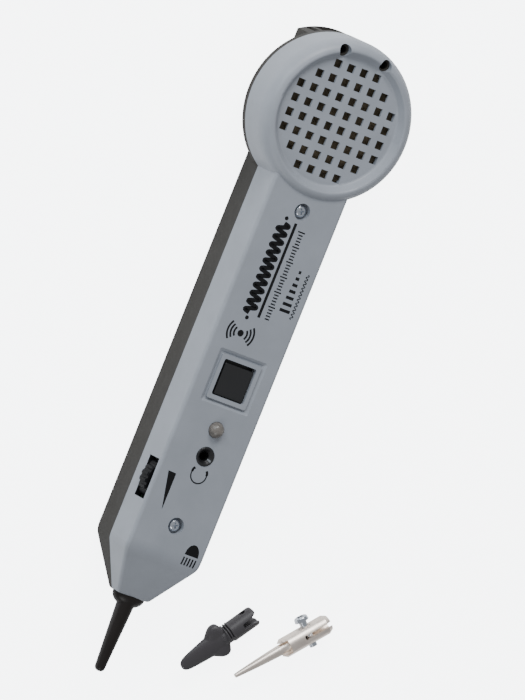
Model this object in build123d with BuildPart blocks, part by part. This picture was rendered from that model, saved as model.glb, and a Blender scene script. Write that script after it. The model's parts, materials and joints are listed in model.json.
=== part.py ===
from build123d import *
import math
import os

# Tone probe kit, lying on its back on a table: the probe, a metal needle tip and a plastic
# spatula tip. Millimetres. +Z is up, out of the probe's face; +Y runs towards the round head;
# the origin is on the flat back, in the middle of the battery door's width.

# ---------------------------------------------------------------- driving dimensions
WALL = 2.0
SEAM_Z = 12.8                    # plane where the two shells meet
FACE_Z = 28.0                    # front face of the body
HEAD_Y = 70.0                    # centre of the round head
HEAD_R = 30.4                    # at the rear of the head
HEAD_TOP_R = 30.4
CREST_R = 26.1                   # inner side of the ring round the grille
RING_START_Z = 24.2              # where the head's wall starts to round over into the ring
CREST_Z = 29.8                   # crest of the smooth ring round the grille
GRILLE_Z = 27.0                  # recessed grille floor
GRILLE_R = 23.9
GRILLE_T = 1.0
HEAD_PLATE = 2.5                 # rear shell's thickness where it only closes the head
SEAM_HALF = 16.0                 # half width of the body at the seam
DRAFT = 0.5
SHOULDER_Y = -101.0              # where the nose starts to taper
NOSE_Y = -119.0                  # flat end of the nose
NOSE_HALF = 6.9
NOSE_SLOPE_Y = -100.5            # where the face and the back start to slope
FACE_SLOPE = 29.0
BACK_SLOPE = 28.0
EDGE_R = 1.4
CREASE_R = 12.0

HOLE_PITCH = 5.62                # grille of square holes
HOLE_SIDE = 3.0
RIM_HOLE = (8.95, 95.1)          # openings over the test-set lugs
RIM_HOLE_R = 2.35

SCREW_YS = (34.7, -88.4)
SCREW_HOLE_R = 1.5
SCREW_R = 1.45
SCREW_HEAD_R = 2.45
SCREW_HEAD_Z = 25.3              # underside of the screw heads
COUNTERBORE_R = 3.15
BOSS_R = 3.5

BUTTON_Y = -31.8
BUTTON_SIDE = 13.8               # square opening
COLLAR_SIDE = 17.0
RECESS_SIDE = 20.6
BUTTON_TRAVEL = 1.0
CAP_X = (-5.7, 6.6)              # the cap sits off the middle of its opening
CAP_Y = (-6.6, 5.6)
LED_XY = (0.5, -50.5)
LENS_R = 2.9
JACK_XY = (0.5, -61.0)
JACK_RING_R = 3.6
JACK_MOUTH_R = 2.9
JACK_BORE_R = 1.8
JACK_DEPTH = 14.0
JACK_FUNNEL = 1.2

WHEEL_XY = (-8.5, -75.4)
WHEEL_R = 9.0
WHEEL_Z = (19.8, 25.6)
WHEEL_NOTCHES = 22
SLOT_LENGTH = 15.6
SLOT_Z = (18.9, 26.5)

BOARD_Z = 17.0
BOARD_T = 1.6
BOARD_Y = (-84.0, -23.2)
BOARD_HALF = 13.0
BOARD_TOP = BOARD_Z + BOARD_T

BATTERY = (26.5, 46.4, 17.5)     # PP3 case, without its terminals
BATTERY_Y = -15.5                # terminal end of the case
BATTERY_Z = 2.3
DOOR_Y = (-19.5, 31.0)           # opening in the back
DOOR_HALF = 13.0
DOOR_GAP = 0.3

TIP_Z = 13.8                     # axis of the probe tip
TIP_END_Y = -148.8
TIP_BASE_R = 3.5
TIP_END_R = 1.9
DOME = (6.6, 4.5, 3.9)           # half axes of the rounded base
SHANK_R = 2.5

CLIP_WALL_Y = (86.0, 88.3)       # wall between the speaker and the lug recess
WINDOW_Z = (2.2, 9.8)
WINDOW_RIB_X = 11.0

NEEDLE_END = (58.6, -134.4)      # needle tip's sharp end on the table
NEEDLE_REAR = (86.6, -104.1)
SLEEVE_R = 3.8
SLEEVE_LENGTH = 21.4
SLEEVE_ROLL = 9.0                # degrees the clamp screw's head leans down towards the table
CLAMP_FROM_REAR = 9.0
CLAMP_R = 1.5

SPATULA_END = (36.5, -138.0)
SPATULA_REAR = (56.6, -110.7)
SPATULA_TUBE_R = 3.9
TIP_BORE_R = 2.5                 # bores that slip over the end of the probe's tip
TIP_BORE_DEPTH = 7.3
SPATULA_BORE_DEPTH = 11.0

os.makedirs("parts", exist_ok=True)


def finish(name, piece):
    """Label a finished piece and write it."""
    piece.part.label = name
    export_step(piece.part, f"parts/{name}.step")


# ---------------------------------------------------------------- shell forms
def body_plan(inset, y_end):
    """Plan of the straight body and its tapering nose, shrunk by inset."""
    half = SEAM_HALF - inset
    nose = NOSE_HALF - inset * 0.6
    y_nose = NOSE_Y + inset
    Polygon((half, y_end), (-half, y_end), (-half, SHOULDER_Y), (-nose, y_nose),
            (nose, y_nose), (half, SHOULDER_Y), align=None)


def round_plan(plan, inset):
    """Round the shoulder and nose corners of a plan."""
    rows = plan.vertices().group_by(Axis.Y)
    fillet(rows[0], radius=2.0)
    rows = plan.vertices().filter_by(lambda v: abs(v.Y - SHOULDER_Y) < 0.5)
    fillet(rows, radius=6.0 - inset)


def slope_cut(y_start, z_start, angle, upward):
    """Remove what lies beyond a plane that slopes from y_start towards the nose."""
    run = 60.0
    rise = run * math.tan(math.radians(angle))
    z_far = z_start - rise if upward else z_start + rise
    z_away = z_start + 60.0 if upward else z_start - 60.0
    with BuildSketch(Plane.YZ) as beyond:
        Polygon((y_start, z_start), (y_start - run, z_far), (y_start - run, z_away),
                (y_start, z_away), align=None)
    extrude(beyond.sketch, amount=60, both=True, mode=Mode.SUBTRACT)


def soften(form, up):
    """Round the crease where the nose starts to slope, then the long outer edges."""
    def broad_faces():
        return form.faces().filter_by(lambda f: f.normal_at().Z * up > 0.8)
    crease = [e for e in broad_faces().edges()
              if abs(e.center().X) < 0.1 and abs(e.center().Y - NOSE_SLOPE_Y) < 0.6]
    fillet(crease[:1], radius=CREASE_R)
    rim = [e for e in broad_faces().edges() if abs(e.center().X) > 0.5 or e.center().Y > 98]
    fillet(rim, radius=EDGE_R)


def front_body(inset):
    """Body half above the seam, as a solid block."""
    with BuildPart() as form:
        with BuildSketch(Plane.XY.offset(SEAM_Z)) as plan:
            body_plan(inset, HEAD_Y)
            round_plan(plan, inset)
        extrude(amount=FACE_Z - SEAM_Z - inset, taper=DRAFT)
        drop = inset / math.cos(math.radians(FACE_SLOPE))
        slope_cut(NOSE_SLOPE_Y, FACE_Z - drop, FACE_SLOPE, True)
        if inset == 0:
            soften(form, 1)
    return form.part


def rear_body(inset):
    """Body half below the seam, running on as a spine behind the head."""
    with BuildPart() as form:
        with BuildSketch(Plane.XY.offset(SEAM_Z)) as plan:
            body_plan(inset, HEAD_Y)
            round_plan(plan, inset)
            with Locations((0, HEAD_Y)):
                Circle(HEAD_R - inset)
            for side in (-1, 1):
                with Locations((side * (SEAM_HALF - inset + 20), HEAD_Y)):
                    Rectangle(40, 80, mode=Mode.SUBTRACT)
        extrude(amount=-(SEAM_Z - inset), taper=DRAFT)
        rise = inset / math.cos(math.radians(BACK_SLOPE))
        slope_cut(NOSE_SLOPE_Y, rise, BACK_SLOPE, False)
        if inset == 0:
            soften(form, -1)
    return form.part


def bar_along_y(radius, y_low, y_high, x=0.0, z=TIP_Z, mode=Mode.ADD):
    """A round bar parallel to the probe's length."""
    with BuildSketch(Plane.XZ.offset(-y_low)) as disc:
        with Locations((x, z)):
            Circle(radius)
    extrude(disc.sketch, amount=-(y_high - y_low), mode=mode)


def upright(radius, x, y, z_low, z_high, mode=Mode.ADD):
    """A round post parallel to Z."""
    with BuildSketch(Plane.XY.offset(z_low)) as disc:
        with Locations((x, y)):
            Circle(radius)
    extrude(disc.sketch, amount=z_high - z_low, mode=mode)


def block(x, y, z, mode=Mode.ADD):
    """A rectangular block from its (low, high) pairs."""
    with BuildSketch(Plane.XY.offset(z[0])) as foot:
        with Locations(((x[0] + x[1]) / 2, (y[0] + y[1]) / 2)):
            Rectangle(x[1] - x[0], y[1] - y[0])
    extrude(foot.sketch, amount=z[1] - z[0], mode=mode)


def square_column(side, y, z, taper=0.0, mode=Mode.ADD):
    """A square column on the centre line, for the button opening."""
    with BuildSketch(Plane.XY.offset(z[0])) as foot:
        with Locations((0, y)):
            RectangleRounded(side, side, 0.8)
    extrude(foot.sketch, amount=z[1] - z[0], taper=taper, mode=mode)


def head_form():
    """Round head above the seam: crested ring round the recessed grille floor."""
    with BuildPart() as form:
        with BuildSketch(Plane.XZ) as profile:
            with BuildLine():
                Polyline((CREST_R, CREST_Z), (GRILLE_R, GRILLE_Z), (0, GRILLE_Z), (0, SEAM_Z),
                         (HEAD_R, SEAM_Z), (HEAD_TOP_R, RING_START_Z))
                EllipticalCenterArc((CREST_R, RING_START_Z), HEAD_TOP_R - CREST_R,
                                    CREST_Z - RING_START_Z, arc_size=90)
            make_face()
            crest = profile.vertices().filter_by(lambda v: v.Y > CREST_Z - 0.1)
            fillet(crest, radius=1.0)
            foot = profile.vertices().filter_by(lambda v: abs(v.X - GRILLE_R) < 0.1)
            fillet(foot, radius=1.2)
        revolve(axis=Axis.Z)
    return Pos(0, HEAD_Y, 0) * form.part


front_solid = front_body(0)
front_core = front_body(WALL)
rear_solid = rear_body(0)
rear_core = rear_body(WALL)
head_solid = head_form()

# ---------------------------------------------------------------- front shell
with BuildPart() as front_shell:
    add(front_solid)
    add(front_core, mode=Mode.SUBTRACT)
    upright(HEAD_R - 1.5, 0, HEAD_Y, SEAM_Z - 1, CREST_Z + 1, Mode.SUBTRACT)
    add(head_solid)
    upright(HEAD_R - 2.6, 0, HEAD_Y, SEAM_Z - 1, RING_START_Z - 0.4, Mode.SUBTRACT)
    upright(25.3, 0, HEAD_Y, SEAM_Z - 1, GRILLE_Z - WALL, Mode.SUBTRACT)
    upright(GRILLE_R - 1.4, 0, HEAD_Y, SEAM_Z - 1, GRILLE_Z - GRILLE_T, Mode.SUBTRACT)
    # passage from the body into the head
    block((-13.4, 13.4), (38.0, 50.0), (SEAM_Z - 1, GRILLE_Z - WALL), Mode.SUBTRACT)
    # ring that centres the speaker
    with BuildSketch(Plane.XY.offset(21.5)):
        with Locations((0, HEAD_Y)):
            Circle(26.0)
            Circle(24.5, mode=Mode.SUBTRACT)
    extrude(amount=RING_START_Z - 21.5)
    for screw_y in SCREW_YS:
        upright(BOSS_R, 0, screw_y, SEAM_Z, FACE_Z - 1)
        upright(COUNTERBORE_R + 1.2, 0, screw_y, 23.2, FACE_Z - 1)
    # rib that traps the tip's collar
    block((-8, 8), (-113.2, -112.0), (SEAM_Z, 19.0))
    # button: shallow sloped recess, raised collar and a guide skirt inside
    square_column(RECESS_SIDE, BUTTON_Y, (FACE_Z, FACE_Z - 0.9), 58.0, Mode.SUBTRACT)
    square_column(COLLAR_SIDE, BUTTON_Y, (24.6, FACE_Z + 0.1))
    square_column(BUTTON_SIDE, BUTTON_Y, (20.0, FACE_Z + 2), mode=Mode.SUBTRACT)
    with Locations(*[(0, screw_y, FACE_Z) for screw_y in SCREW_YS]):
        CounterBoreHole(radius=SCREW_HOLE_R + 0.2, counter_bore_radius=COUNTERBORE_R,
                        counter_bore_depth=FACE_Z - SCREW_HEAD_Z)
    bar_along_y(SHANK_R + 0.05, NOSE_Y - 1, -111.0, mode=Mode.SUBTRACT)
    upright(LENS_R + 0.15, *LED_XY, 22.0, FACE_Z + 2, Mode.SUBTRACT)
    upright(JACK_RING_R + 0.1, *JACK_XY, 22.0, FACE_Z + 2, Mode.SUBTRACT)
    # volume wheel slot in the left wall
    block((-20, -11.5), (WHEEL_XY[1] - SLOT_LENGTH / 2, WHEEL_XY[1] + SLOT_LENGTH / 2), SLOT_Z,
          Mode.SUBTRACT)
    # work light opening in the right slope of the nose
    bar_along_y(1.6, -125.0, -104.0, 9.8, 17.2, Mode.SUBTRACT)
    for side in (-1, 1):
        upright(RIM_HOLE_R, side * RIM_HOLE[0], RIM_HOLE[1], SEAM_Z, CREST_Z + 2, Mode.SUBTRACT)
    spots = [-3.5 + step for step in range(8)]
    grid = [(i, j) for i in spots for j in spots if i * i + j * j < 15]
    with BuildSketch(Plane.XY.offset(GRILLE_Z - WALL - 1)):
        with Locations(*[(i * HOLE_PITCH, HEAD_Y + j * HOLE_PITCH) for i, j in grid]):
            Rectangle(HOLE_SIDE, HOLE_SIDE)
    extrude(amount=WALL + 3, mode=Mode.SUBTRACT)
finish("front_shell", front_shell)

# ---------------------------------------------------------------- rear shell
plate_z = SEAM_Z - HEAD_PLATE
with BuildPart() as rear_cavity:
    add(rear_core)
    block((-20, 20), CLIP_WALL_Y, (0, SEAM_Z), Mode.SUBTRACT)
    block((-20, 20), (CLIP_WALL_Y[0], 105), (plate_z, SEAM_Z), Mode.SUBTRACT)

with BuildPart() as rear_shell:
    add(rear_solid)
    upright(HEAD_R, 0, HEAD_Y, plate_z, SEAM_Z)
    add(rear_cavity.part, mode=Mode.SUBTRACT)
    for screw_y in SCREW_YS:
        upright(BOSS_R, 0, screw_y, WALL - 0.5, SEAM_Z)
    # posts under the circuit board
    for x in (-10.5, 10.5):
        for y in (-81.0, -45.0):
            upright(1.8, x, y, WALL - 0.5, BOARD_Z)
    # end stop of the battery bay
    block((-13.5, 13.5), (31.2, 32.4), (WALL - 0.5, 10.0))
    block((-8, 8), (-113.2, -112.0), (8.0, SEAM_Z))
    block((-DOOR_HALF, DOOR_HALF), DOOR_Y, (-1, WALL + 0.1), Mode.SUBTRACT)
    # window at the head's end, with its two ribs
    block((-WINDOW_RIB_X + 0.6, WINDOW_RIB_X - 0.6), (92, 105), WINDOW_Z, Mode.SUBTRACT)
    for side in (-1, 1):
        ends = sorted((side * (WINDOW_RIB_X + 0.6), side * 13.6))
        block(ends, (92, 105), WINDOW_Z, Mode.SUBTRACT)
        # dark lining of the rim openings
        upright(RIM_HOLE_R - 0.1, side * RIM_HOLE[0], RIM_HOLE[1], plate_z, 27.0)
        upright(RIM_HOLE_R - 0.7, side * RIM_HOLE[0], RIM_HOLE[1], plate_z - 1, 28.0, Mode.SUBTRACT)
    for screw_y in SCREW_YS:
        upright(SCREW_HOLE_R, 0, screw_y, 4.0, SEAM_Z + 1, Mode.SUBTRACT)
    bar_along_y(SHANK_R + 0.05, NOSE_Y - 1, -111.0, mode=Mode.SUBTRACT)
finish("rear_shell", rear_shell)

# ---------------------------------------------------------------- battery door
with BuildPart() as battery_door:
    block((-DOOR_HALF + DOOR_GAP, DOOR_HALF - DOOR_GAP),
          (DOOR_Y[0] + DOOR_GAP, DOOR_Y[1] - DOOR_GAP), (0, WALL - 0.1))
    corners = battery_door.edges().filter_by(Axis.Z)
    fillet(corners, radius=0.6)
    # two hooks that reach inside, under the wall at the nose end
    for x in (-8.0, 8.0):
        block((x - 2, x + 2), (DOOR_Y[0] + 0.6, DOOR_Y[0] + 1.6), (WALL - 0.3, 3.4))
        block((x - 2, x + 2), (DOOR_Y[0] - 1.8, DOOR_Y[0] + 1.6), (WALL + 0.4, 3.4))
    # finger ridges and the latch notch at the head end
    for step in range(4):
        y = DOOR_Y[1] - 5.0 - 1.6 * step
        block((-5, 5), (y - 0.35, y + 0.35), (-0.1, 0.5), Mode.SUBTRACT)
finish("battery_door", battery_door)

# ---------------------------------------------------------------- screws
with BuildPart() as housing_screws:
    for screw_y in SCREW_YS:
        upright(SCREW_R, 0, screw_y, 5.0, SCREW_HEAD_Z)
        with BuildSketch(Plane.XY.offset(SCREW_HEAD_Z)):
            with Locations((0, screw_y)):
                Circle(SCREW_HEAD_R)
        extrude(amount=1.9, taper=6)
    crowns = housing_screws.faces().group_by(Axis.Z)[-1]
    fillet(crowns.edges(), radius=1.3)
    for screw_y in SCREW_YS:
        for turn in (0, 90):
            with BuildSketch(Plane.XY.offset(SCREW_HEAD_Z + 0.7)):
                with Locations(Location((0, screw_y, 0), (0, 0, turn + 20))):
                    Rectangle(2.3, 0.6)
            extrude(amount=2, mode=Mode.SUBTRACT)
finish("housing_screws", housing_screws)

# ---------------------------------------------------------------- speaker
head_axis = Axis((0, HEAD_Y, 0), (0, 0, 1))
head_section = Plane.XZ.offset(-HEAD_Y)
with BuildPart() as speaker_frame:
    with BuildSketch(head_section):
        Polygon((3.0, 15.4), (12.0, 15.4), (13.0, 16.0), (21.8, 22.8), (24.1, 22.8), (24.1, 24.4),
                (23.4, 24.4), (23.4, 23.6), (21.4, 23.6), (12.4, 16.8), (3.0, 16.8), align=None)
    revolve(axis=head_axis)
    with BuildSketch(Plane.XY.offset(15)):
        with Locations((0, HEAD_Y)):
            with PolarLocations(17.5, 4, start_angle=45):
                Rectangle(6.0, 9.0)
    extrude(amount=8, mode=Mode.SUBTRACT)
finish("speaker_frame", speaker_frame)

with BuildPart() as speaker_cone:
    with BuildSketch(head_section):
        Polygon((0, 19.6), (5.0, 18.6), (19.6, 23.3), (21.0, 24.0), (23.0, 24.0), (23.0, 24.5),
                (20.8, 24.5), (19.2, 23.8), (6.0, 19.5), (0, 21.2), align=None)
    revolve(axis=head_axis)
finish("speaker_cone", speaker_cone)

with BuildPart() as speaker_magnet:
    upright(11.0, 0, HEAD_Y, 8.4, 15.3)
    chamfer(speaker_magnet.edges().filter_by(GeomType.CIRCLE), length=0.6)
    upright(2.6, 0, HEAD_Y, 15.0, 18.0)
finish("speaker_magnet", speaker_magnet)

# ---------------------------------------------------------------- circuit board and its parts
with BuildPart() as circuit_board:
    block((-BOARD_HALF, BOARD_HALF), BOARD_Y, (BOARD_Z, BOARD_TOP))
    fillet(circuit_board.edges().filter_by(Axis.Z), radius=1.0)
    block((JACK_XY[0] - 4.6, JACK_XY[0] + 4.6), (JACK_XY[1] - 5.3, JACK_XY[1] + 5.3),
          (BOARD_Z - 1, BOARD_TOP + 1), Mode.SUBTRACT)
finish("circuit_board", circuit_board)

with BuildPart() as board_chips:
    for x, y, width, length, height in (
            (8.2, -72.0, 6.0, 10.0, 1.6), (8.4, -57.0, 4.0, 8.6, 1.6), (-8.6, -53.0, 5.0, 6.2, 1.4)):
        block((x - width / 2, x + width / 2), (y - length / 2, y + length / 2),
              (BOARD_TOP, BOARD_TOP + height))
finish("board_chips", board_chips)

with BuildPart() as board_capacitors:
    for x, y, radius, height in ((9.4, -44.5, 2.5, 5.4), (-9.6, -44.0, 2.0, 5.0), (9.8, -80.8, 2.0, 4.0)):
        upright(radius, x, y, BOARD_TOP, BOARD_TOP + height)
finish("board_capacitors", board_capacitors)

with BuildPart() as switch_body:
    block((-4, 4), (BUTTON_Y - 4, BUTTON_Y + 4), (BOARD_TOP, 21.8))
    fillet(switch_body.edges().filter_by(Axis.Z), radius=0.6)
finish("switch_body", switch_body)

# cap with its retaining flange, and the plunger that works the switch
with BuildPart() as power_button:
    block((CAP_X[0], CAP_X[1]), (BUTTON_Y + CAP_Y[0], BUTTON_Y + CAP_Y[1]), (24.0, FACE_Z - 0.7))
    fillet(power_button.edges().filter_by(Axis.Z), radius=0.4)
    fillet(power_button.faces().sort_by(Axis.Z)[-1].edges(), radius=0.35)
    square_column(BUTTON_SIDE + 1.6, BUTTON_Y, (23.2, 24.2))
    upright(1.7, 0, BUTTON_Y, 21.8 + BUTTON_TRAVEL + 0.1, 23.4)
finish("power_button", power_button)

with BuildPart() as volume_pot:
    upright(5.2, *WHEEL_XY, BOARD_TOP, 19.4)
    upright(1.45, *WHEEL_XY, 19.0, 24.2)
finish("volume_pot", volume_pot)

with BuildPart() as volume_wheel:
    upright(WHEEL_R, *WHEEL_XY, *WHEEL_Z)
    chamfer(volume_wheel.edges().filter_by(GeomType.CIRCLE), length=0.5)
    upright(6.0, *WHEEL_XY, WHEEL_Z[0] - 1, WHEEL_Z[0] + 0.6, Mode.SUBTRACT)
    upright(1.5, *WHEEL_XY, WHEEL_Z[0] - 1, 24.4, Mode.SUBTRACT)
    with BuildSketch(Plane.XY.offset(WHEEL_Z[0] - 1)):
        with Locations(WHEEL_XY):
            with PolarLocations(WHEEL_R + 0.15, WHEEL_NOTCHES):
                Circle(0.75)
    extrude(amount=8, mode=Mode.SUBTRACT)
finish("volume_wheel", volume_wheel)

with BuildPart() as headphone_jack:
    block((JACK_XY[0] - 4.3, JACK_XY[0] + 4.3), (JACK_XY[1] - 5, JACK_XY[1] + 5),
          (FACE_Z + 0.3 - JACK_DEPTH - 0.8, 25.8))
    upright(JACK_RING_R, *JACK_XY, 25.0, FACE_Z + 0.3)
    top_rim = headphone_jack.edges().filter_by(GeomType.CIRCLE).sort_by(Axis.Z)[-1]
    fillet(top_rim, radius=0.3)
    upright(JACK_BORE_R, *JACK_XY, FACE_Z + 0.3 - JACK_DEPTH, FACE_Z + 2, Mode.SUBTRACT)
    # funnel mouth that leads the plug in
    with BuildSketch(Plane.XY.offset(FACE_Z + 0.3 - JACK_FUNNEL)):
        with Locations(JACK_XY):
            Circle(JACK_BORE_R)
    with BuildSketch(Plane.XY.offset(FACE_Z + 0.3)):
        with Locations(JACK_XY):
            Circle(JACK_MOUTH_R)
    loft(mode=Mode.SUBTRACT)
finish("headphone_jack", headphone_jack)

with BuildPart() as indicator_led:
    upright(LENS_R + 0.5, *LED_XY, 24.6, 25.7)
    upright(LENS_R, *LED_XY, 25.7, FACE_Z + 0.2)
    with Locations((*LED_XY, FACE_Z + 0.2)):
        Sphere(LENS_R)
finish("indicator_led", indicator_led)

with BuildPart() as led_leads:
    for x in (-1.27, 1.27):
        block((LED_XY[0] + x - 0.25, LED_XY[0] + x + 0.25), (LED_XY[1] - 0.25, LED_XY[1] + 0.25),
              (BOARD_TOP, 24.6))
finish("led_leads", led_leads)

with BuildPart() as work_light:
    bar_along_y(1.5, -109.6, -105.2, 9.8, 17.2)
    with Locations((9.8, -109.6, 17.2)):
        Sphere(1.5)
    bar_along_y(1.9, -105.2, -104.4, 9.8, 17.2)
finish("work_light", work_light)

# ---------------------------------------------------------------- battery
with BuildPart() as battery:
    block((-BATTERY[0] / 2, BATTERY[0] / 2), (BATTERY_Y, BATTERY_Y + BATTERY[1]),
          (BATTERY_Z, BATTERY_Z + BATTERY[2]))
    fillet(battery.edges().filter_by(Axis.Y), radius=2.0)
    mid = BATTERY_Z + BATTERY[2] / 2
    bar_along_y(2.8, BATTERY_Y - 2.0, BATTERY_Y, -6.35, mid)
    bar_along_y(3.0, BATTERY_Y - 2.0, BATTERY_Y, 6.35, mid)
finish("battery", battery)

with BuildPart() as battery_snap:
    block((-12, 12), (BATTERY_Y - 4.6, BATTERY_Y - 2.2), (mid - 6, mid + 6))
    fillet(battery_snap.edges().filter_by(Axis.Y), radius=3.0)
    for x in (-6.35, 6.35):
        bar_along_y(4.0, BATTERY_Y - 3.0, BATTERY_Y - 0.3, x, mid)
        bar_along_y(3.2, BATTERY_Y - 2.2, BATTERY_Y, x, mid, Mode.SUBTRACT)
finish("battery_snap", battery_snap)


def lead(points, radii, radius):
    """An insulated wire along straight runs joined by tangent arcs."""
    with BuildLine() as route:
        path = FilletPolyline(*points, radius=radii)
    start = path @ 0
    along = path % 0
    with BuildSketch(Plane(origin=start, z_dir=along)) as section:
        Circle(radius)
    sweep(section.sketch, path=route.line)


LEAD_R = 0.6
with BuildPart() as battery_leads:
    for side in (-1, 1):
        lead([(side * 10.0, BATTERY_Y - 3.4, mid + 6.0), (side * 10.0, BATTERY_Y - 3.4, 21.6),
              (side * 10.0, BATTERY_Y - 10.4, 21.6), (side * 10.0, BATTERY_Y - 10.4, BOARD_TOP)],
             [3.0, 2.6], LEAD_R)
finish("battery_leads", battery_leads)

with BuildPart() as speaker_leads:
    for side in (-1, 1):
        lead([(side * 5.6, -17.5 - 7.2, BOARD_TOP), (side * 5.6, -24.7, 21.6), (side * 5.6, 30.0, 21.6),
              (side * 9.0, 43.0, 17.0), (side * 9.0, 52.5, 14.2)],
             [2.7, 12.0, 12.0], LEAD_R)
finish("speaker_leads", speaker_leads)

# ---------------------------------------------------------------- test-set lugs
with BuildPart() as lug_block:
    block((-13.2, 13.2), (CLIP_WALL_Y[1], CLIP_WALL_Y[1] + 1.6), (2.2, plate_z - 0.1))
finish("lug_block", lug_block)

with BuildPart() as test_set_lugs:
    for side in (-1, 1):
        x = side * RIM_HOLE[0]
        lug_y = CLIP_WALL_Y[1] + 1.6
        bar_along_y(2.4, lug_y, lug_y + 0.8, x, 6.4)
        bar_along_y(1.5, lug_y + 0.8, lug_y + 4.2, x, 6.4)
        bar_along_y(2.0, lug_y + 4.2, lug_y + 5.0, x, 6.4)
finish("test_set_lugs", test_set_lugs)

# ---------------------------------------------------------------- probe tip
dome_half = scale(Sphere(1), by=DOME) & Pos(0, -10, 0) * Box(40, 20, 40)
dome_base = Pos(0, NOSE_Y, TIP_Z) * dome_half
with BuildPart() as probe_tip:
    with BuildSketch(Plane.YZ) as tip_profile:
        with BuildLine():
            Polyline((-110.5, TIP_Z), (TIP_END_Y, TIP_Z), (TIP_END_Y, TIP_Z + TIP_END_R),
                     (NOSE_Y - 1.0, TIP_Z + TIP_BASE_R), (NOSE_Y, TIP_Z + TIP_BASE_R),
                     (NOSE_Y, TIP_Z + SHANK_R), (-115.1, TIP_Z + SHANK_R), (-115.1, TIP_Z + 3.3),
                     (-113.5, TIP_Z + 3.3), (-113.5, TIP_Z + SHANK_R), (-110.5, TIP_Z + SHANK_R),
                     close=True)
        make_face()
        nose_corner = tip_profile.vertices().filter_by(
            lambda v: v.X < TIP_END_Y + 0.1 and v.Y > TIP_Z + 0.5)
        fillet(nose_corner, radius=1.7)
    revolve(axis=Axis((0, 0, TIP_Z), (0, 1, 0)))
    add(dome_base)
    bar_along_y(0.85, TIP_END_Y + 3.0, -110.0, mode=Mode.SUBTRACT)
finish("probe_tip", probe_tip)

with BuildPart() as tip_antenna:
    bar_along_y(0.8, TIP_END_Y + 3.0, -106.0)
finish("tip_antenna", tip_antenna)

with BuildPart() as antenna_lead:
    lead([(0, -106.0, TIP_Z), (0, -101.0, TIP_Z), (6.0, -94.0, TIP_Z), (6.0, -82.0, TIP_Z),
          (6.0, -79.6, BOARD_Z - 0.5)], [5.0, 5.0, 2.4], LEAD_R)
finish("antenna_lead", antenna_lead)


# ---------------------------------------------------------------- needle tip with its clamp
def table_plane(tip_end, rear, height, roll=0.0):
    """Plane at a loose tip's end: local Z towards its rear, local Y up, local X to its left."""
    along = Vector(rear[0] - tip_end[0], rear[1] - tip_end[1], 0).normalized()
    left = Vector(-along.Y, along.X, 0)
    lean = math.radians(roll)
    leaned = left * math.cos(lean) - Vector(0, 0, 1) * math.sin(lean)
    return Plane(origin=(tip_end[0], tip_end[1], height), x_dir=leaned, z_dir=along)


def shifted(plane, distance):
    """The same plane, further along its normal."""
    return plane.offset(distance)


needle_plane = table_plane(NEEDLE_END, NEEDLE_REAR, SLEEVE_R, SLEEVE_ROLL)
needle_length = math.dist(NEEDLE_END, NEEDLE_REAR)
sleeve_start = needle_length - SLEEVE_LENGTH
clamp_at = needle_length - CLAMP_FROM_REAR
clamp_axis = Plane(origin=shifted(needle_plane, clamp_at).origin, z_dir=needle_plane.x_dir)
SLOT_WIDTH = 1.6
SLOT_DEPTH = 11.6
NOTCH_DEPTH = 3.4
NEEDLE_R = 2.05
NEEDLE_BORE_R = 2.2
NEEDLE_SEAT = 4.6
CLAMP_HEAD_AT = 5.6              # underside of the screw's head, from the sleeve's axis
CLAMP_END_AT = -4.9

sleeve_section = Plane(origin=needle_plane.origin, x_dir=needle_plane.z_dir,
                       z_dir=needle_plane.x_dir)
needle_axis = Axis(needle_plane.origin, needle_plane.z_dir)
with BuildPart() as clamp_sleeve:
    # bevelled ends, bore for the needle, and the wider bore that takes the probe's tip
    with BuildSketch(sleeve_section):
        Polygon((sleeve_start, NEEDLE_BORE_R), (sleeve_start, SLEEVE_R - 1.2),
                (sleeve_start + 1.6, SLEEVE_R), (needle_length - 1.6, SLEEVE_R),
                (needle_length, SLEEVE_R - 0.9), (needle_length, TIP_BORE_R),
                (needle_length - TIP_BORE_DEPTH, TIP_BORE_R),
                (needle_length - TIP_BORE_DEPTH, 1.9), (sleeve_start + NEEDLE_SEAT, 1.9),
                (sleeve_start + NEEDLE_SEAT, NEEDLE_BORE_R), align=None)
    revolve(axis=needle_axis)
    # notch across the needle's end
    with BuildSketch(shifted(needle_plane, sleeve_start - 1)):
        Rectangle(5.2, 12)
    extrude(amount=NOTCH_DEPTH + 1, mode=Mode.SUBTRACT)
    # clamping slot from the rear end
    with BuildSketch(shifted(needle_plane, needle_length - SLOT_DEPTH)):
        Rectangle(SLOT_WIDTH, 12)
    extrude(amount=SLOT_DEPTH + 1, mode=Mode.SUBTRACT)
    with BuildSketch(clamp_axis):
        Circle(CLAMP_R + 0.05)
    extrude(amount=8, both=True, mode=Mode.SUBTRACT)
finish("clamp_sleeve", clamp_sleeve)

with BuildPart() as needle_cone:
    with BuildSketch(needle_plane):
        Circle(0.85)
    with BuildSketch(shifted(needle_plane, sleeve_start - 0.5)):
        Circle(NEEDLE_R)
    loft()
    fillet(needle_cone.edges().filter_by(GeomType.CIRCLE).sort_by(
        SortBy.RADIUS)[0], radius=0.4)
    with BuildSketch(shifted(needle_plane, sleeve_start - 0.5)):
        Circle(NEEDLE_R)
    extrude(amount=NOTCH_DEPTH + 0.6)
    # plug held in the sleeve
    with BuildSketch(shifted(needle_plane, sleeve_start + NOTCH_DEPTH)):
        Circle(NEEDLE_BORE_R - 0.02)
    extrude(amount=NEEDLE_SEAT - NOTCH_DEPTH - 0.05)
    with BuildSketch(shifted(needle_plane, -1)):
        Circle(0.35)
    extrude(amount=30, mode=Mode.SUBTRACT)
finish("needle_cone", needle_cone)

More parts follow.
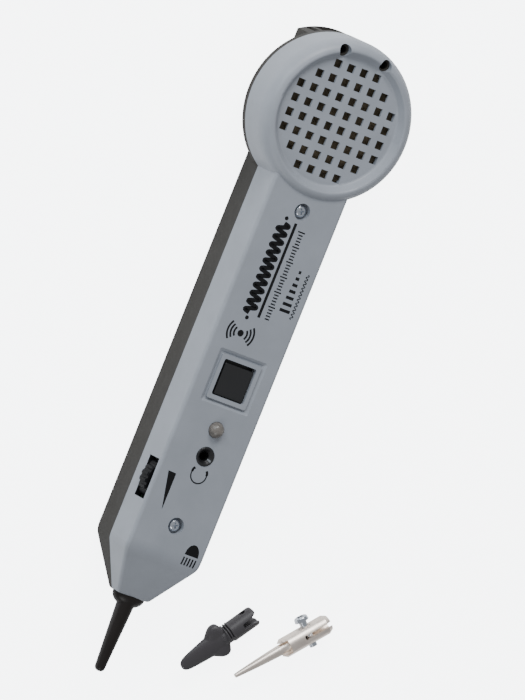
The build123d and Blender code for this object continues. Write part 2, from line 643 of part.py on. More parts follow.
with BuildPart() as clamp_screw:
    with BuildSketch(clamp_axis.offset(CLAMP_END_AT)):
        Circle(CLAMP_R)
    extrude(amount=CLAMP_HEAD_AT - CLAMP_END_AT)
    with BuildSketch(clamp_axis.offset(CLAMP_HEAD_AT)):
        Circle(2.75)
    extrude(amount=1.7, taper=8)
    crown = clamp_screw.faces().filter_by(GeomType.PLANE).sort_by(
        Axis(clamp_axis.origin, clamp_axis.z_dir))[-1]
    fillet(crown.edges(), radius=0.7)
    for turn in (0, 90):
        with BuildSketch(clamp_axis.offset(CLAMP_HEAD_AT + 0.6)):
            with Locations(Location((0, 0, 0), (0, 0, turn + 35))):
                Rectangle(3.2, 0.75)
        extrude(amount=3, mode=Mode.SUBTRACT)
finish("clamp_screw", clamp_screw)

# ---------------------------------------------------------------- spatula tip
spatula_plane = table_plane(SPATULA_END, SPATULA_REAR, SPATULA_TUBE_R)
spatula_length = math.dist(SPATULA_END, SPATULA_REAR)
GUARD_AT = 17.0                  # middle of the finger guard, from the tongue's end
with BuildPart() as spatula_tip:
    # flat tongue that widens and thickens towards the guard
    with BuildSketch(spatula_plane):
        SlotOverall(4.2, 1.6)
    with BuildSketch(shifted(spatula_plane, 2.0)):
        SlotOverall(5.6, 2.2)
    with BuildSketch(shifted(spatula_plane, GUARD_AT - 1.0)):
        SlotOverall(8.6, 4.6)
    loft()
    # two-lobed guard
    with BuildSketch(shifted(spatula_plane, GUARD_AT - 2.2)):
        Ellipse(4.6, 2.6)
    with BuildSketch(shifted(spatula_plane, GUARD_AT)):
        Ellipse(6.8, 3.85)
    with BuildSketch(shifted(spatula_plane, GUARD_AT + 2.0)):
        Ellipse(6.4, 3.85)
    with BuildSketch(shifted(spatula_plane, GUARD_AT + 3.4)):
        Ellipse(4.2, 3.4)
    loft()
    with BuildSketch(shifted(spatula_plane, GUARD_AT + 3.0)):
        Circle(3.5)
    extrude(amount=2.2)
    with BuildSketch(shifted(spatula_plane, GUARD_AT + 5.0)):
        Circle(SPATULA_TUBE_R)
    extrude(amount=spatula_length - GUARD_AT - 5.0)
    rear_rim = spatula_tip.edges().filter_by(GeomType.CIRCLE).sort_by(
        Axis(spatula_plane.origin, spatula_plane.z_dir))[-1]
    fillet(rear_rim, radius=1.2)
    # bore for the probe's tip, the slot between the prongs and their cross holes
    with BuildSketch(shifted(spatula_plane, spatula_length - SPATULA_BORE_DEPTH)):
        Circle(TIP_BORE_R)
    extrude(amount=SPATULA_BORE_DEPTH + 1, mode=Mode.SUBTRACT)
    with BuildSketch(shifted(spatula_plane, spatula_length - 6.5)):
        Rectangle(2.2, 10)
    extrude(amount=8, mode=Mode.SUBTRACT)
    cross = Plane(origin=shifted(spatula_plane, spatula_length - 4.2).origin,
                  z_dir=spatula_plane.x_dir)
    with BuildSketch(cross):
        Circle(1.3)
    extrude(amount=8, both=True, mode=Mode.SUBTRACT)
finish("spatula_tip", spatula_tip)
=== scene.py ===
import json
import math

import bmesh
import bpy
from mathutils import Matrix, Vector
from mathutils.bvhtree import BVHTree


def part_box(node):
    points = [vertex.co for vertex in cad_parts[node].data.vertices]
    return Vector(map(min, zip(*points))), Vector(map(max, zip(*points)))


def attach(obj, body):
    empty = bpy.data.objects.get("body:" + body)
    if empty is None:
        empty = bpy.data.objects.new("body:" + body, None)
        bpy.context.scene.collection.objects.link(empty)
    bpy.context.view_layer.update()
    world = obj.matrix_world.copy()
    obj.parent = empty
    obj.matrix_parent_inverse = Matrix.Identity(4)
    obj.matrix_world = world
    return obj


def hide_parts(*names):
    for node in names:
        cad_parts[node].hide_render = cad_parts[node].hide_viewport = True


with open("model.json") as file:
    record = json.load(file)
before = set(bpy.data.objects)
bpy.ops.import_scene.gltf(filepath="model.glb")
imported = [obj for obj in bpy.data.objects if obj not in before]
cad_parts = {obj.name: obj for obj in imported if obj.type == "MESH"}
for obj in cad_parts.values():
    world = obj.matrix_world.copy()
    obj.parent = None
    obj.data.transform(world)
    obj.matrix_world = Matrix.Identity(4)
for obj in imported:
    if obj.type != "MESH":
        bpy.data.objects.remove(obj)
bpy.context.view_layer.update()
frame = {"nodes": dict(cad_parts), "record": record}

MM = 0.001
RECORD = frame["record"]

# ---------------------------------------------------------------- places read from the frame
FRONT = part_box("front_shell")
SHELL = frame["nodes"]["front_shell"]
MOUNTS = {mount["name"]: mount for mount in RECORD["mounts"]}
JOINTS = {joint["name"]: joint for joint in RECORD["behaviour"]["joints"]}


def mid(node):
    """Middle of a CAD node's box."""
    low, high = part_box(node)
    return (low + high) / 2


# ---------------------------------------------------------------- materials
def new_material(name):
    """An empty node material: its tree, its shader and a maker of nodes."""
    material = bpy.data.materials.new(name)
    material.use_nodes = True
    tree = material.node_tree
    tree.nodes.clear()
    out = tree.nodes.new("ShaderNodeOutputMaterial")
    shader = tree.nodes.new("ShaderNodeBsdfPrincipled")
    tree.links.new(shader.outputs["BSDF"], out.inputs["Surface"])
    return material, tree, shader


def noise(tree, scale, detail=4.0, rough=0.55, stretch=(1, 1, 1), distortion=0.0):
    """Noise in object space, scale in features a metre."""
    place = tree.nodes.new("ShaderNodeTexCoord")
    mapping = tree.nodes.new("ShaderNodeMapping")
    mapping.inputs["Scale"].default_value = stretch
    tree.links.new(place.outputs["Object"], mapping.inputs["Vector"])
    texture = tree.nodes.new("ShaderNodeTexNoise")
    texture.inputs["Scale"].default_value = scale
    texture.inputs["Detail"].default_value = detail
    texture.inputs["Roughness"].default_value = rough
    texture.inputs["Distortion"].default_value = distortion
    tree.links.new(mapping.outputs["Vector"], texture.inputs["Vector"])
    return texture.outputs["Fac"]


def ramp(tree, source, stops):
    """Colour ramp over a source value."""
    node = tree.nodes.new("ShaderNodeValToRGB")
    elements = node.color_ramp.elements
    while len(elements) < len(stops):
        elements.new(0.5)
    for element, (at, colour) in zip(elements, stops):
        element.position = at
        element.color = (*colour, 1.0)
    tree.links.new(source, node.inputs["Fac"])
    return node.outputs["Color"]


def spread(tree, source, low, high):
    """Map a 0..1 value to low..high."""
    node = tree.nodes.new("ShaderNodeMapRange")
    node.inputs["To Min"].default_value = low
    node.inputs["To Max"].default_value = high
    tree.links.new(source, node.inputs["Value"])
    return node.outputs["Result"]


def bump(tree, shader, layers):
    """Stack bump layers of (height source, strength, distance in metres)."""
    last = None
    for height, strength, distance in layers:
        node = tree.nodes.new("ShaderNodeBump")
        node.inputs["Strength"].default_value = strength
        node.inputs["Distance"].default_value = distance
        tree.links.new(height, node.inputs["Height"])
        if last is not None:
            tree.links.new(last, node.inputs["Normal"])
        last = node.outputs["Normal"]
    tree.links.new(last, shader.inputs["Normal"])


def shade(colour, factor):
    return tuple(channel * factor for channel in colour)


def moulded(name, colour, rough, grain=1800.0, depth=0.00002, strength=0.35, specular=0.5):
    """Moulded plastic: faint mottling, uneven gloss and a fine spark-eroded grain."""
    material, tree, shader = new_material(name)
    mottle = noise(tree, 90.0, 5.0)
    tint = ramp(tree, mottle, [(0.3, shade(colour, 0.95)), (0.7, shade(colour, 1.05))])
    tree.links.new(tint, shader.inputs["Base Color"])
    gloss = spread(tree, noise(tree, 260.0, 6.0), rough - 0.06, rough + 0.08)
    tree.links.new(gloss, shader.inputs["Roughness"])
    shader.inputs["Specular IOR Level"].default_value = specular
    fine = noise(tree, grain, 3.0, 0.6)
    broad = noise(tree, 120.0, 2.0)
    bump(tree, shader, [(fine, strength, depth), (broad, 0.12, 0.00006)])
    return material


def metal(name, colour, rough, streak=(1, 1, 1), scale=900.0, strength=0.2):
    """Plated metal: tone and gloss drift and fine streaks."""
    material, tree, shader = new_material(name)
    drift = noise(tree, 160.0, 5.0)
    tint = ramp(tree, drift, [(0.25, shade(colour, 0.88)), (0.75, shade(colour, 1.06))])
    tree.links.new(tint, shader.inputs["Base Color"])
    shader.inputs["Metallic"].default_value = 1.0
    lines = noise(tree, scale, 4.0, 0.6, streak)
    gloss = spread(tree, lines, rough - 0.05, rough + 0.12)
    tree.links.new(gloss, shader.inputs["Roughness"])
    bump(tree, shader, [(lines, strength, 0.00001), (drift, 0.08, 0.00005)])
    return material


def clear(name, colour, rough):
    """Clouded moulded epoxy: murky patches, a soft skin and tiny ripples."""
    material, tree, shader = new_material(name)
    cloud = noise(tree, 420.0, 4.0)
    tint = ramp(tree, cloud, [(0.35, shade(colour, 0.6)), (0.65, shade(colour, 1.25))])
    tree.links.new(tint, shader.inputs["Base Color"])
    tree.links.new(spread(tree, cloud, 0.15, 0.6), shader.inputs["Transmission Weight"])
    shader.inputs["IOR"].default_value = 1.5
    ripple = noise(tree, 1100.0, 3.0)
    tree.links.new(spread(tree, ripple, rough, rough + 0.2), shader.inputs["Roughness"])
    bump(tree, shader, [(ripple, 0.35, 0.00006)])
    return material


MATERIALS = {
    "light_shell": moulded("light_shell", (0.28, 0.30, 0.335), 0.42, 2200.0, 0.000015, 0.3),
    "dark_shell": moulded("dark_shell", (0.034, 0.031, 0.027), 0.6, 1500.0, 0.00003, 0.5, 0.25),
    "zinc_steel": metal("zinc_steel", (0.66, 0.70, 0.76), 0.14, (1, 1, 1), 700.0, 0.15),
    "speaker_steel": moulded("speaker_steel", (0.05, 0.05, 0.05), 0.45),
    "speaker_paper": moulded("speaker_paper", (0.13, 0.105, 0.07), 0.8, 900.0, 0.00006, 0.6, 0.2),
    "magnet_ferrite": moulded("magnet_ferrite", (0.04, 0.04, 0.045), 0.6),
    "board_green": moulded("board_green", (0.05, 0.10, 0.05), 0.35),
    "black_plastic": moulded("black_plastic", (0.02, 0.02, 0.02), 0.45),
    "capacitor_can": moulded("capacitor_can", (0.04, 0.045, 0.09), 0.3),
    "button_black": moulded("button_black", (0.013, 0.013, 0.014), 0.38, 2000.0, 0.00001, 0.25),
    "steel_plate": metal("steel_plate", (0.6, 0.6, 0.6), 0.3),
    "wheel_black": moulded("wheel_black", (0.006, 0.006, 0.007), 0.4, specular=0.07),
    "jack_black": moulded("jack_black", (0.012, 0.012, 0.013), 0.25),
    "clear_lens": clear("clear_lens", (0.26, 0.235, 0.21), 0.2),
    "battery_case": moulded("battery_case", (0.08, 0.08, 0.1), 0.3),
    "lead_red": moulded("lead_red", (0.35, 0.02, 0.02), 0.35),
    "nickel_plate": metal("nickel_plate", (0.94, 0.84, 0.75), 0.36, (1, 1, 1), 1200.0, 0.25),
    "tip_black": moulded("tip_black", (0.011, 0.0085, 0.0075), 0.36, 1500.0, 0.00001, 0.25, 0.3),
    "brass_rod": metal("brass_rod", (0.8, 0.6, 0.28), 0.25),
    "spatula_black": moulded("spatula_black", (0.048, 0.044, 0.048), 0.46, 1600.0, 0.00002, 0.4),
    "print_black": moulded("print_black", (0.006, 0.006, 0.007), 0.5, specular=0.2),
    "floor_pale": moulded("floor_pale", (0.80, 0.80, 0.80), 0.7, 300.0, 0.00001, 0.05, 0.1),
}

def paint_shade_in_slot(material, low, high):
    """Painted shade: black out the walls of an opening that fills the given box, standing in for
    the shadow inside it.
    """
    tree = material.node_tree
    shader = tree.nodes["Principled BSDF"]
    place = tree.nodes.new("ShaderNodeNewGeometry")
    middle, half = (low + high) / 2, (high - low) / 2
    shift = tree.nodes.new("ShaderNodeVectorMath")
    shift.operation = "SUBTRACT"
    shift.inputs[1].default_value = middle
    tree.links.new(place.outputs["Position"], shift.inputs[0])
    scale = tree.nodes.new("ShaderNodeVectorMath")
    scale.operation = "DIVIDE"
    scale.inputs[1].default_value = half
    tree.links.new(shift.outputs["Vector"], scale.inputs[0])
    size = tree.nodes.new("ShaderNodeVectorMath")
    size.operation = "ABSOLUTE"
    tree.links.new(scale.outputs["Vector"], size.inputs[0])
    axes = tree.nodes.new("ShaderNodeSeparateXYZ")
    tree.links.new(size.outputs["Vector"], axes.inputs["Vector"])
    reach = axes.outputs["X"]
    for axis in ("Y", "Z"):
        larger = tree.nodes.new("ShaderNodeMath")
        larger.operation = "MAXIMUM"
        tree.links.new(reach, larger.inputs[0])
        tree.links.new(axes.outputs[axis], larger.inputs[1])
        reach = larger.outputs["Value"]
    inside = tree.nodes.new("ShaderNodeMath")
    inside.operation = "LESS_THAN"
    inside.inputs[1].default_value = 1.0
    tree.links.new(reach, inside.inputs[0])
    source = shader.inputs["Base Color"].links[0].from_socket
    mix = tree.nodes.new("ShaderNodeMix")
    mix.data_type = "RGBA"
    # painted shade: near-black colour laid on the slot walls inside the box
    mix.inputs[7].default_value = (0.008, 0.008, 0.009, 1.0)
    tree.links.new(inside.outputs["Value"], mix.inputs[0])
    tree.links.new(source, mix.inputs[6])
    tree.links.new(mix.outputs[2], shader.inputs["Base Color"])


# box just over the wheel's slot in the left wall, whose walls get painted shade
SLOT_HALF = Vector((7.0, 7.83, 3.83)) * MM
SLOT_MID = Vector((FRONT[0].x / 2 - 2 * MM, mid("volume_wheel").y, 22.7 * MM))
paint_shade_in_slot(MATERIALS["light_shell"], SLOT_MID - SLOT_HALF, SLOT_MID + SLOT_HALF)

for entry in RECORD["subparts"]:
    node = frame["nodes"][entry["node"]]
    node.data.materials.clear()
    node.data.materials.append(MATERIALS[entry["material_slot"]])

# ---------------------------------------------------------------- mesh helpers
def new_piece(name, shape, body, slot, material=None, smooth=True):
    """Turn a bmesh into a named object that rides a body."""
    bmesh.ops.recalc_face_normals(shape, faces=shape.faces)
    mesh = bpy.data.meshes.new(name)
    shape.to_mesh(mesh)
    shape.free()
    mesh.polygons.foreach_set("use_smooth", [smooth] * len(mesh.polygons))
    piece = bpy.data.objects.new(name, mesh)
    bpy.context.scene.collection.objects.link(piece)
    mesh.materials.append(MATERIALS[material or slot])
    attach(piece, body)
    return piece


def tube_of_rings(rings, closed=True):
    """Skin a list of equal rings of points; cap the ends, or join the last to the first."""
    shape = bmesh.new()
    rows = [[shape.verts.new(point) for point in ring] for ring in rings]
    count = len(rings[0])
    pairs = list(zip(rows, rows[1:]))
    if not closed:
        pairs.append((rows[-1], rows[0]))
    for low, high in pairs:
        for i in range(count):
            j = (i + 1) % count
            shape.faces.new((low[i], low[j], high[j], high[i]))
    if closed:
        shape.faces.new(rows[0])
        shape.faces.new(rows[-1])
    return shape


def local_frame(mount, half_length, across=None):
    """Origin at a loose tip's rear end, +Z backwards out of it, X across, Y up."""
    along = Vector(mount["axis"])
    rear = Vector(mount["pos_m"]) + along * half_length
    side = across or Vector((-along.y, along.x, 0))
    rise = along.cross(side)
    turn = Matrix((side, rise, along)).transposed().to_4x4()
    return Matrix.Translation(rear) @ turn


# ---------------------------------------------------------------- printing on the face
INK_ABOVE = 0.02 * MM
INK_BELOW = 0.04 * MM


def drop(shell_tree, x, y):
    """Height of the shell under a point."""
    hit = shell_tree.ray_cast(Vector((x, y, 1.0)), Vector((0, 0, -1)))[0]
    return hit.z


def shell_surface():
    mesh = SHELL.data
    points = [SHELL.matrix_world @ vertex.co for vertex in mesh.vertices]
    return BVHTree.FromPolygons(points, [tuple(face.vertices) for face in mesh.polygons])


def between(first, second, across=2):
    """Grid of points between two polylines of equal length, in millimetres."""
    return [[(a[0] + (b[0] - a[0]) * k / across, a[1] + (b[1] - a[1]) * k / across)
             for k in range(across + 1)] for a, b in zip(first, second)]


def stroke(path, width):
    """Grid of a line of constant width along a path."""
    left, right = [], []
    for i, (x, y) in enumerate(path):
        before, after = path[max(i - 1, 0)], path[min(i + 1, len(path) - 1)]
        run = Vector((after[0] - before[0], after[1] - before[1])).normalized() * (width / 2)
        left.append((x - run.y, y + run.x))
        right.append((x + run.y, y - run.x))
    return between(left, right)


def straight(start, end, count=6):
    return [(start[0] + (end[0] - start[0]) * i / count, start[1] + (end[1] - start[1]) * i / count)
            for i in range(count + 1)]


def arc(centre, radius, start, end, count=28):
    """Points on an arc; angles in degrees from +X towards +Y."""
    steps = [math.radians(start + (end - start) * i / count) for i in range(count + 1)]
    return [(centre[0] + radius * math.cos(t), centre[1] + radius * math.sin(t)) for t in steps]


def disc(centre, radius):
    return between(arc(centre, radius, 180, 1), arc(centre, radius, 180, 359), 6)


def print_on_shell(name, grids):
    """Lay thin closed films of ink on the front shell."""
    surface = shell_surface()
    shape = bmesh.new()
    for grid in grids:
        tops, bottoms = [], []
        for row in grid:
            place = [(x * MM, y * MM) for x, y in row]
            heights = [drop(surface, x, y) for x, y in place]
            tops.append([shape.verts.new((x, y, z + INK_ABOVE))
                         for (x, y), z in zip(place, heights)])
            bottoms.append([shape.verts.new((x, y, z - INK_BELOW))
                            for (x, y), z in zip(place, heights)])
        rows, columns = len(grid), len(grid[0])
        for i in range(rows - 1):
            for j in range(columns - 1):
                for layer in (tops, bottoms):
                    shape.faces.new((layer[i][j], layer[i + 1][j], layer[i + 1][j + 1],
                                     layer[i][j + 1]))
        edge = ([(0, j) for j in range(columns)] + [(i, columns - 1) for i in range(1, rows)]
                + [(rows - 1, j) for j in range(columns - 2, -1, -1)]
                + [(i, 0) for i in range(rows - 2, 0, -1)])
        for (i, j), (k, l) in zip(edge, edge[1:] + edge[:1]):
            shape.faces.new((tops[i][j], tops[k][l], bottoms[k][l], bottoms[i][j]))
    new_piece(name, shape, "probe", "light_shell", "print_black", smooth=False)


def wave(x_mid, y_start, y_end, height, cycles, count=120):
    """A sine curve along the probe's length."""
    points = []
    for i in range(count + 1):
        part = i / count
        points.append((x_mid + height * math.sin(2 * math.pi * cycles * part),
                       y_start + (y_end - y_start) * part))
    return points


def face_graphics():
    """Generic tone graphics, signs for the volume, the headphones and the work light."""
    wedge = between(straight((-11.4, -70.2), (-8.1, -84.2), 12),
                    straight((-8.0, -70.4), (-8.0, -84.4), 12))
    print_on_shell("print_volume_wedge", [wedge])

    ear_y = JACK_PRINT_Y
    band = stroke(arc((0.8, ear_y), 3.2, 155, 385), 0.5)
    pads = [stroke([(0.8 + side * 3.15, ear_y + 0.6), (0.8 + side * 3.0, ear_y + 1.5),
                    (0.8 + side * 2.5, ear_y + 2.3)], 0.95) for side in (-1, 1)]
    print_on_shell("print_headphones", [band] + pads)

    light_x, light_y = 10.4, -96.9
    dome = between(straight((light_x - 2.85, light_y), (light_x + 2.85, light_y), 24),
                   [(x, light_y + 4.3 * math.sqrt(max(0.0, 1 - ((x - light_x) / 2.85) ** 2)))
                    for x, _ in straight((light_x - 2.85, 0), (light_x + 2.85, 0), 24)], 4)
    rays = [stroke(straight((light_x + (i - 2) * 1.25, light_y - 0.9),
                            (light_x + (i - 2) * 1.25, light_y - 4.0), 8), 0.62) for i in range(5)]
    print_on_shell("print_work_light", [dome] + rays)

    bar = stroke(straight((-0.6, 30.0), (-0.6, -6.8), 4), 1.15)
    tone = [stroke(wave(-5.0, 28.6, -6.2, 2.2, 11, 260), 1.6)]
    dots = [disc((-5.0, 30.6), 0.75), disc((-5.0, -8.2), 0.75)]
    print_on_shell("print_tone_wave", [bar] + tone + dots)

    ticks = []
    for i in range(30):
        y = 27.6 - i * 1.17
        reach = 0.95 if i % 5 else 1.5
        ticks.append(stroke([(2.9 - reach, y), (2.9 + reach, y)], 0.5))
    print_on_shell("print_level_ticks", ticks)

    steps = []
    for i in range(7):
        y = 13.8 - i * 2.5
        reach = 0.5 + 0.28 * i
        steps.append(stroke([(8.4 - reach, y), (8.4 + reach, y)], 1.15))
    fine = [stroke(wave(12.0, 14.0, -3.4, 0.55, 12), 0.35)]
    print_on_shell("print_signal_steps", steps + fine)

    emblem = (-5.0, -14.4)
    rings = [disc(emblem, 1.25)]
    for radius in (2.7, 4.1, 5.5):
        for middle in (0, 180):
            rings.append(stroke(arc(emblem, radius, middle - 38, middle + 38), 0.75))
    print_on_shell("print_tone_emblem", rings)


JACK_PRINT_Y = mid("headphone_jack").y / MM - 7.1
face_graphics()

# ---------------------------------------------------------------- metal tip's rolled needle
NEEDLE_BACK = 3.65 * MM          # from the middle of the slip-over bore to the rear
NEEDLE_LENGTH = 41.26            # whole metal tip
SLEEVE_LENGTH = 21.4


def ring_at(distance, radius, seam, count=96):
    """Ring round local Z with a narrow groove where the rolled sheet's edges meet."""
    points = []
    for i in range(count):
        turn = 2 * math.pi * i / count
        away = abs((turn - math.radians(138) + math.pi) % (2 * math.pi) - math.pi)
        dip = seam * max(0.0, 1 - away / math.radians(6))
        reach = (radius - dip) * MM
        points.append((reach * math.cos(turn), reach * math.sin(turn), distance * MM))
    return points


def rolled_needle():
    profile = []
    tip_r, root_r = 0.85, 2.04
    steps = 40
    end_l, root_l = -NEEDLE_LENGTH, -SLEEVE_LENGTH - 0.3
    profile += [(end_l + 0.12, 0.36, 0.0), (end_l + 0.02, 0.46, 0.0), (end_l, 0.58, 0.02),
                (end_l + 0.05, 0.72, 0.06), (end_l + 0.2, 0.81, 0.12)]
    for i in range(steps + 1):
        part = i / steps
        l = end_l + 0.45 + (root_l - end_l - 0.45) * part
        belly = 0.10 * math.sin(math.pi * part)
        profile.append((l, tip_r + 0.02 + (root_r - tip_r - 0.02) * part + belly, 0.22))
    profile += [(root_l + 3.6, 2.04, 0.1), (root_l + 3.72, 2.17, 0.0), (root_l + 4.7, 2.17, 0.0),
                (root_l + 4.7, 1.6, 0.0), (root_l, 1.55, 0.0),
                (end_l + 3.0, 0.5, 0.0), (end_l + 1.0, 0.36, 0.0)]
    rings = [ring_at(l, r, seam) for l, r, seam in profile]
    shape = tube_of_rings(rings, closed=False)
    clamp_axis = Vector(JOINTS["clamp_screw_turn"]["axis"])
    matrix = local_frame(MOUNTS["needle_tip_socket"], NEEDLE_BACK, clamp_axis)
    shape.transform(matrix)
    piece = new_piece("rolled_needle", shape, "needle_tip", "nickel_plate")
    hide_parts("needle_cone")


rolled_needle()

# ---------------------------------------------------------------- moulded spatula tip
SPATULA_BACK = 5.5 * MM
SPATULA_LENGTH = 33.9
TUBE_R = 3.9


def section(distance, half_width, middle, lobe, height=0.0, power=2.4, count=72):
    """Flattened section whose thickness runs from middle to lobe towards its sides."""
    points = []
    for i in range(count):
        turn = 2 * math.pi * i / count
        c, s = math.cos(turn), math.sin(turn)
        across = abs(c) ** (2 / power) * (1 if c >= 0 else -1)
        thick = middle + (lobe - middle) * across * across
        up = abs(s) ** (2 / power) * (1 if s >= 0 else -1) * thick
        points.append((across * half_width * MM, (up + height) * MM, distance * MM))
    return points


def joined(shapes):
    """One mesh datablock from several bmeshes."""
    whole = bpy.data.meshes.new("whole")
    merged = bmesh.new()
    for shape in shapes:
        bmesh.ops.recalc_face_normals(shape, faces=shape.faces)
        part = bpy.data.meshes.new("part")
        shape.to_mesh(part)
        shape.free()
        merged.from_mesh(part)
        bpy.data.meshes.remove(part)
    merged.to_mesh(whole)
    merged.free()
    return whole


def scratch_object(name, mesh):
    thing = bpy.data.objects.new(name, mesh)
    bpy.context.scene.collection.objects.link(thing)
    return thing


def apply_modifiers(thing):
    """Bake an object's modifiers into its mesh."""
    graph = bpy.context.evaluated_depsgraph_get()
    baked = bpy.data.meshes.new_from_object(thing.evaluated_get(graph), depsgraph=graph)
    thing.modifiers.clear()
    thing.data = baked


def remesh(thing, voxel, rounds, factor=0.5):
    """Fuse into one skin, then relax it."""
    fuse = thing.modifiers.new("fuse", "REMESH")
    fuse.mode = "VOXEL"
    fuse.voxel_size = voxel
    fuse.use_smooth_shade = True
    relax = thing.modifiers.new("relax", "SMOOTH")
    relax.factor = factor
    relax.iterations = rounds
    apply_modifiers(thing)


def round_bar(radius, start, end, centre=(0, 0), lip=0.0, count=64):
    """Bar along local Z with softened rims."""
    profile = [(start, radius - lip), (start + lip * 0.3, radius - lip * 0.3),
               (start + lip, radius), (end - lip, radius),
               (end - lip * 0.3, radius - lip * 0.3), (end, radius - lip)]
    if lip == 0.0:
        profile = [(start, radius), (end, radius)]
    rings = []
    for distance, reach in profile:
        rings.append([((centre[0] + reach * math.cos(2 * math.pi * i / count)) * MM,
                       (centre[1] + reach * math.sin(2 * math.pi * i / count)) * MM,
                       distance * MM) for i in range(count)])
    return tube_of_rings(rings)


def ridge(start, end, radius, low, high, count=20):
    """Raised rib over part of the tube's girth, angles in degrees from across to up."""
    outline = [(radius, math.radians(low + (high - low) * i / count)) for i in range(count + 1)]
    outline += [(radius - 2.0, turn) for _, turn in reversed(outline)]
    rings = [[(r * math.cos(t) * MM, r * math.sin(t) * MM, l * MM) for r, t in outline]
             for l in (start, end)]
    return tube_of_rings(rings)


def moulded_spatula():
    def at(l):
        return l - SPATULA_LENGTH
    tongue = [(0.0, 0.5, 0.35), (0.12, 1.0, 0.5), (0.4, 1.55, 0.62), (0.9, 2.05, 0.74),
              (1.7, 2.5, 0.86), (3.0, 2.85, 1.0), (6.0, 3.3, 1.3), (10.0, 3.75, 1.75),
              (13.0, 4.05, 2.1), (16.0, 4.3, 2.5), (19.0, 4.2, 3.0)]
    blade = tube_of_rings([section(at(l), w, t, t * 0.8) for l, w, t in tongue])
    saddle = [(12.2, 3.7, 1.5, 1.1), (13.2, 4.5, 1.8, 1.7), (14.2, 5.3, 1.95, 2.4),
              (15.1, 6.0, 2.1, 3.0), (16.0, 6.5, 2.2, 3.4), (16.9, 6.78, 2.3, 3.6),
              (17.8, 6.8, 2.45, 3.6), (18.6, 6.6, 2.65, 3.45), (19.3, 6.0, 2.8, 3.15),
              (19.8, 5.0, 2.8, 2.8), (20.1, 4.0, 2.7, 2.6)]
    guard = tube_of_rings([section(at(l), w, m, e, 0.0, 2.1) for l, w, m, e in saddle])
    tube = round_bar(TUBE_R - 0.02, at(21.8), at(SPATULA_LENGTH), lip=1.0)
    neck = round_bar(3.45, at(18.5), at(22.5))
    ribs = [ridge(at(20.1 + 1.05 * i), at(20.7 + 1.05 * i), 4.35, -8, 108) for i in range(3)]
    body = scratch_object("moulded_spatula", joined([blade, guard, tube, neck] + ribs))
    remesh(body, 0.13 * MM, 5)

    cutters = [round_bar(2.5, at(SPATULA_LENGTH - 11.0), at(SPATULA_LENGTH + 1)),
               tube_of_rings([[(x * MM, y * MM, l * MM) for x, y in
                               ((-w, -6), (w, -6), (w, 6), (-w, 6))]
                              for l, w in ((at(SPATULA_LENGTH - 6.6), 1.0),
                                           (at(SPATULA_LENGTH - 2.4), 1.15),
                                           (at(SPATULA_LENGTH + 1), 2.5))])]
    cross = round_bar(1.25, -8, 8)
    cross.transform(Matrix.Translation((0, 0, at(SPATULA_LENGTH - 3.9) * MM))
                    @ Matrix.Rotation(math.pi / 2, 4, "Y"))
    cutters.append(cross)
    for cutter in cutters:
        tool = scratch_object("cutter", joined([cutter]))
        cut = body.modifiers.new("cut", "BOOLEAN")
        cut.operation = "DIFFERENCE"
        cut.solver = "EXACT"
        cut.object = tool
        apply_modifiers(body)
        bpy.data.objects.remove(tool)
    remesh(body, 0.13 * MM, 2)

    body.data.transform(local_frame(MOUNTS["spatula_tip_socket"], SPATULA_BACK))
    body.data.materials.clear()
    body.data.materials.append(MATERIALS["spatula_black"])
    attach(body, "spatula")
    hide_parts("spatula_tip")


moulded_spatula()

# ---------------------------------------------------------------- inside the lamp
def lamp_core():
    """Two lead posts in the lens, one with the reflector cup."""
    low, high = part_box("indicator_led")
    centre = mid("indicator_led")
    for name, side, height, flare in (("lamp_post", 1, 2.1, 0.45), ("lamp_cup", -1, 2.5, 1.0)):
        profile = [(0.35, 0.3), (height - 1.2, 0.3), (height - 0.7, flare), (height, flare * 1.1),
                   (height, flare * 0.8), (height - 0.35, flare * 0.35)]
        rings = []
        for up, reach in profile:
            rings.append([(centre.x + (side * 0.75 + reach * math.cos(2 * math.pi * i / 32)) * MM,
                           centre.y + reach * 0.8 * math.sin(2 * math.pi * i / 32) * MM,
                           low.z + up * MM) for i in range(32)])
        new_piece(name, tube_of_rings(rings), "probe", "clear_lens", "steel_plate")


lamp_core()

# ---------------------------------------------------------------- stage
RIGHT = Vector((0.8282, 0.3728, 0.4184))
UP = Vector((-0.3100, 0.9268, -0.2118))
BACK = Vector((-0.4667, 0.0457, 0.8832))
TARGET = Vector((0.0064, -0.0174, 0.027))
VIEW_HEIGHT = 0.2545
DISTANCE = 5.0
SENSOR = 36.0


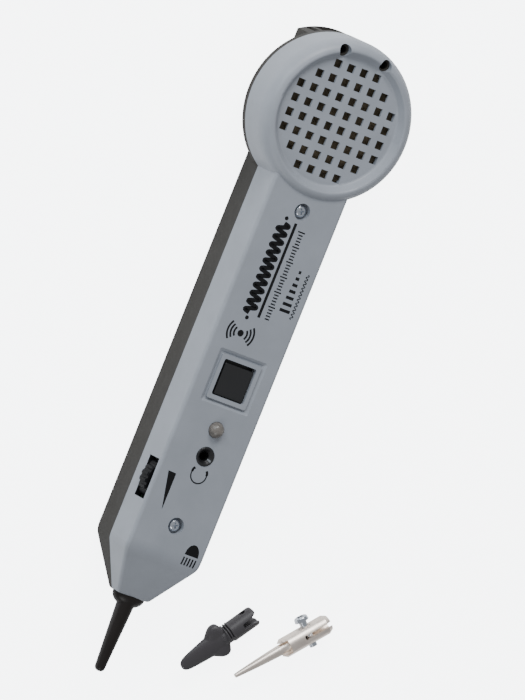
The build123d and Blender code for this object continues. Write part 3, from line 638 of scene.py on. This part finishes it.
def add_camera():
    data = bpy.data.cameras.new("camera")
    data.sensor_width = SENSOR
    data.lens = SENSOR * DISTANCE / VIEW_HEIGHT
    data.clip_start = 0.05
    data.clip_end = 20.0
    camera = bpy.data.objects.new("camera", data)
    bpy.context.scene.collection.objects.link(camera)
    turn = Matrix((RIGHT, UP, BACK)).transposed()
    camera.matrix_world = Matrix.Translation(TARGET + BACK * DISTANCE) @ turn.to_4x4()
    bpy.context.scene.camera = camera


def add_area(name, place, size, power, colour=(1, 1, 1)):
    data = bpy.data.lights.new(name, "AREA")
    data.shape = "RECTANGLE"
    data.size, data.size_y = size
    data.energy = power
    data.color = colour
    lamp = bpy.data.objects.new(name, data)
    bpy.context.scene.collection.objects.link(lamp)
    lamp.location = place
    lamp.rotation_mode = "QUATERNION"
    lamp.rotation_quaternion = (Vector((0, -0.02, 0)) - Vector(place)).to_track_quat("-Z", "Y")


def lit_sheet(material, glow, seen):
    """White sheet with a soft glow, overexposed where the camera sees it."""
    tree = material.node_tree
    shader = tree.nodes["Principled BSDF"]
    shader.inputs["Emission Color"].default_value = (0.95, 0.98, 1.0, 1.0)
    ray = tree.nodes.new("ShaderNodeLightPath")
    tree.links.new(spread(tree, ray.outputs["Is Camera Ray"], glow, seen),
                   shader.inputs["Emission Strength"])


def add_floor():
    lit_sheet(MATERIALS["floor_pale"], 0.6, 6.0)
    mesh = bpy.data.meshes.new("floor")
    shape = bmesh.new()
    bmesh.ops.create_grid(shape, x_segments=8, y_segments=8, size=3.0)
    shape.to_mesh(mesh)
    shape.free()
    floor = bpy.data.objects.new("floor", mesh)
    floor.location.z = -0.0002
    floor.data.materials.append(MATERIALS["floor_pale"])
    bpy.context.scene.collection.objects.link(floor)


def add_world():
    world = bpy.data.worlds.new("studio")
    world.use_nodes = True
    ground = world.node_tree.nodes["Background"]
    ground.inputs["Color"].default_value = (0.95, 0.97, 1.0, 1.0)
    ground.inputs["Strength"].default_value = 0.42
    bpy.context.scene.world = world


add_world()
add_floor()
add_camera()
add_area("key_left", (-0.9, 0.5, 0.6), (0.4, 0.5), 5.5, (0.84, 0.93, 1.0))
add_area("fill_low", (-0.2, -1.1, 0.8), (0.5, 0.5), 3.0)
add_area("key_top", (-0.3, 1.0, 0.7), (0.6, 0.4), 11.0)
